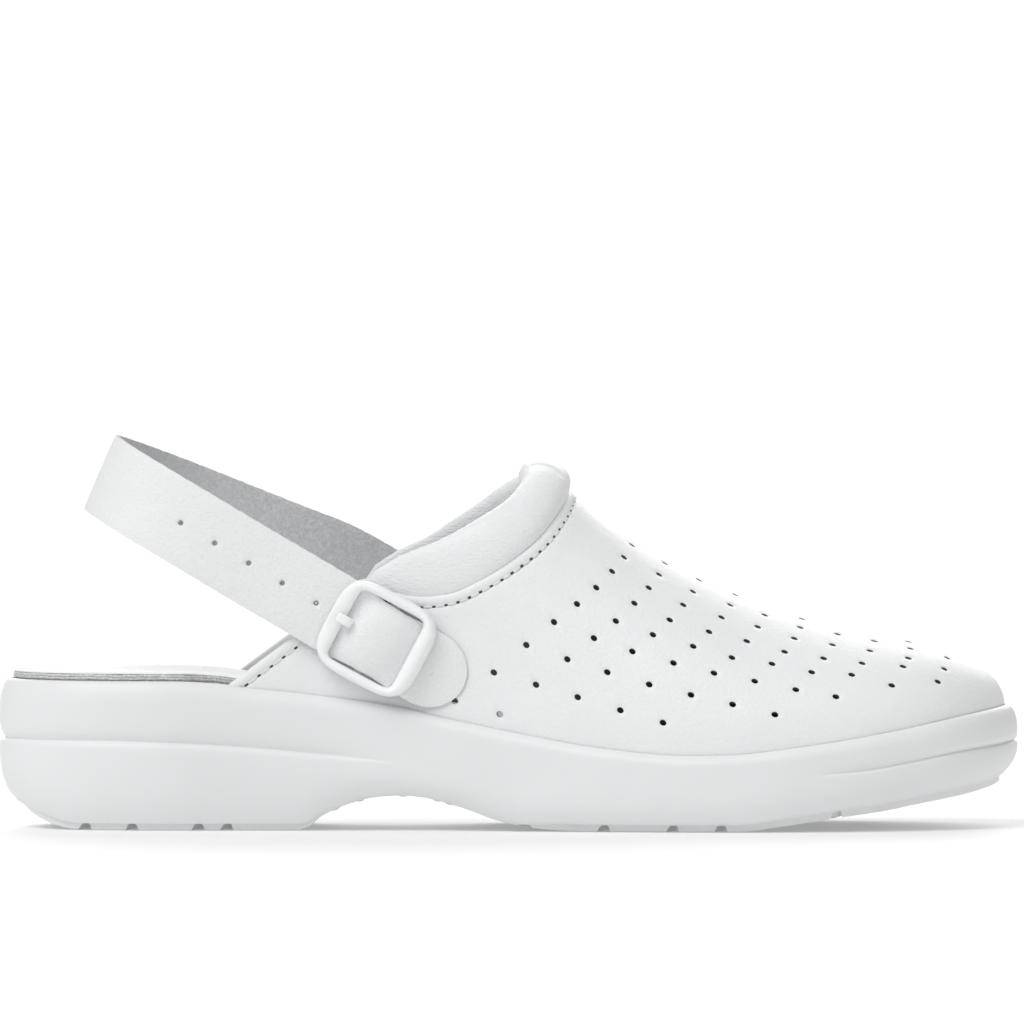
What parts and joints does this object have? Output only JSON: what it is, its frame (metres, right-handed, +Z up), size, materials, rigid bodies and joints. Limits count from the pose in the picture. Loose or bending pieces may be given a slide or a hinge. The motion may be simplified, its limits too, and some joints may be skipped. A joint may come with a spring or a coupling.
{
  "type": "chef clog",
  "caption": "Sling-back kitchen clog: hollow perforated leather upper, padded collar, moulded sole, footbed and a buckled strap round an open heel.",
  "frame": {"origin": "on the floor, under the middle of the shoe's length and of its width", "axes": "+X towards the toe, +Z up, -Y towards the outer side of the foot"},
  "size_m": [0.29, 0.1062, 0.1104],
  "materials": {
    "sole_foam": "satin white moulded foam",
    "insole_leather": "matt pale leather",
    "upper_leather": "smooth white coated leather",
    "collar_leather": "soft padded white leather",
    "strap_leather": "white coated leather",
    "buckle_plastic": "satin white"
  },
  "bodies": {
    "root": {"sole": "sole_foam", "insole": "insole_leather", "upper": "upper_leather", "collar": "collar_leather", "heel_strap": "strap_leather", "buckle_frame": "buckle_plastic", "buckle_prong": "buckle_plastic"}
  },
  "joints": []
}
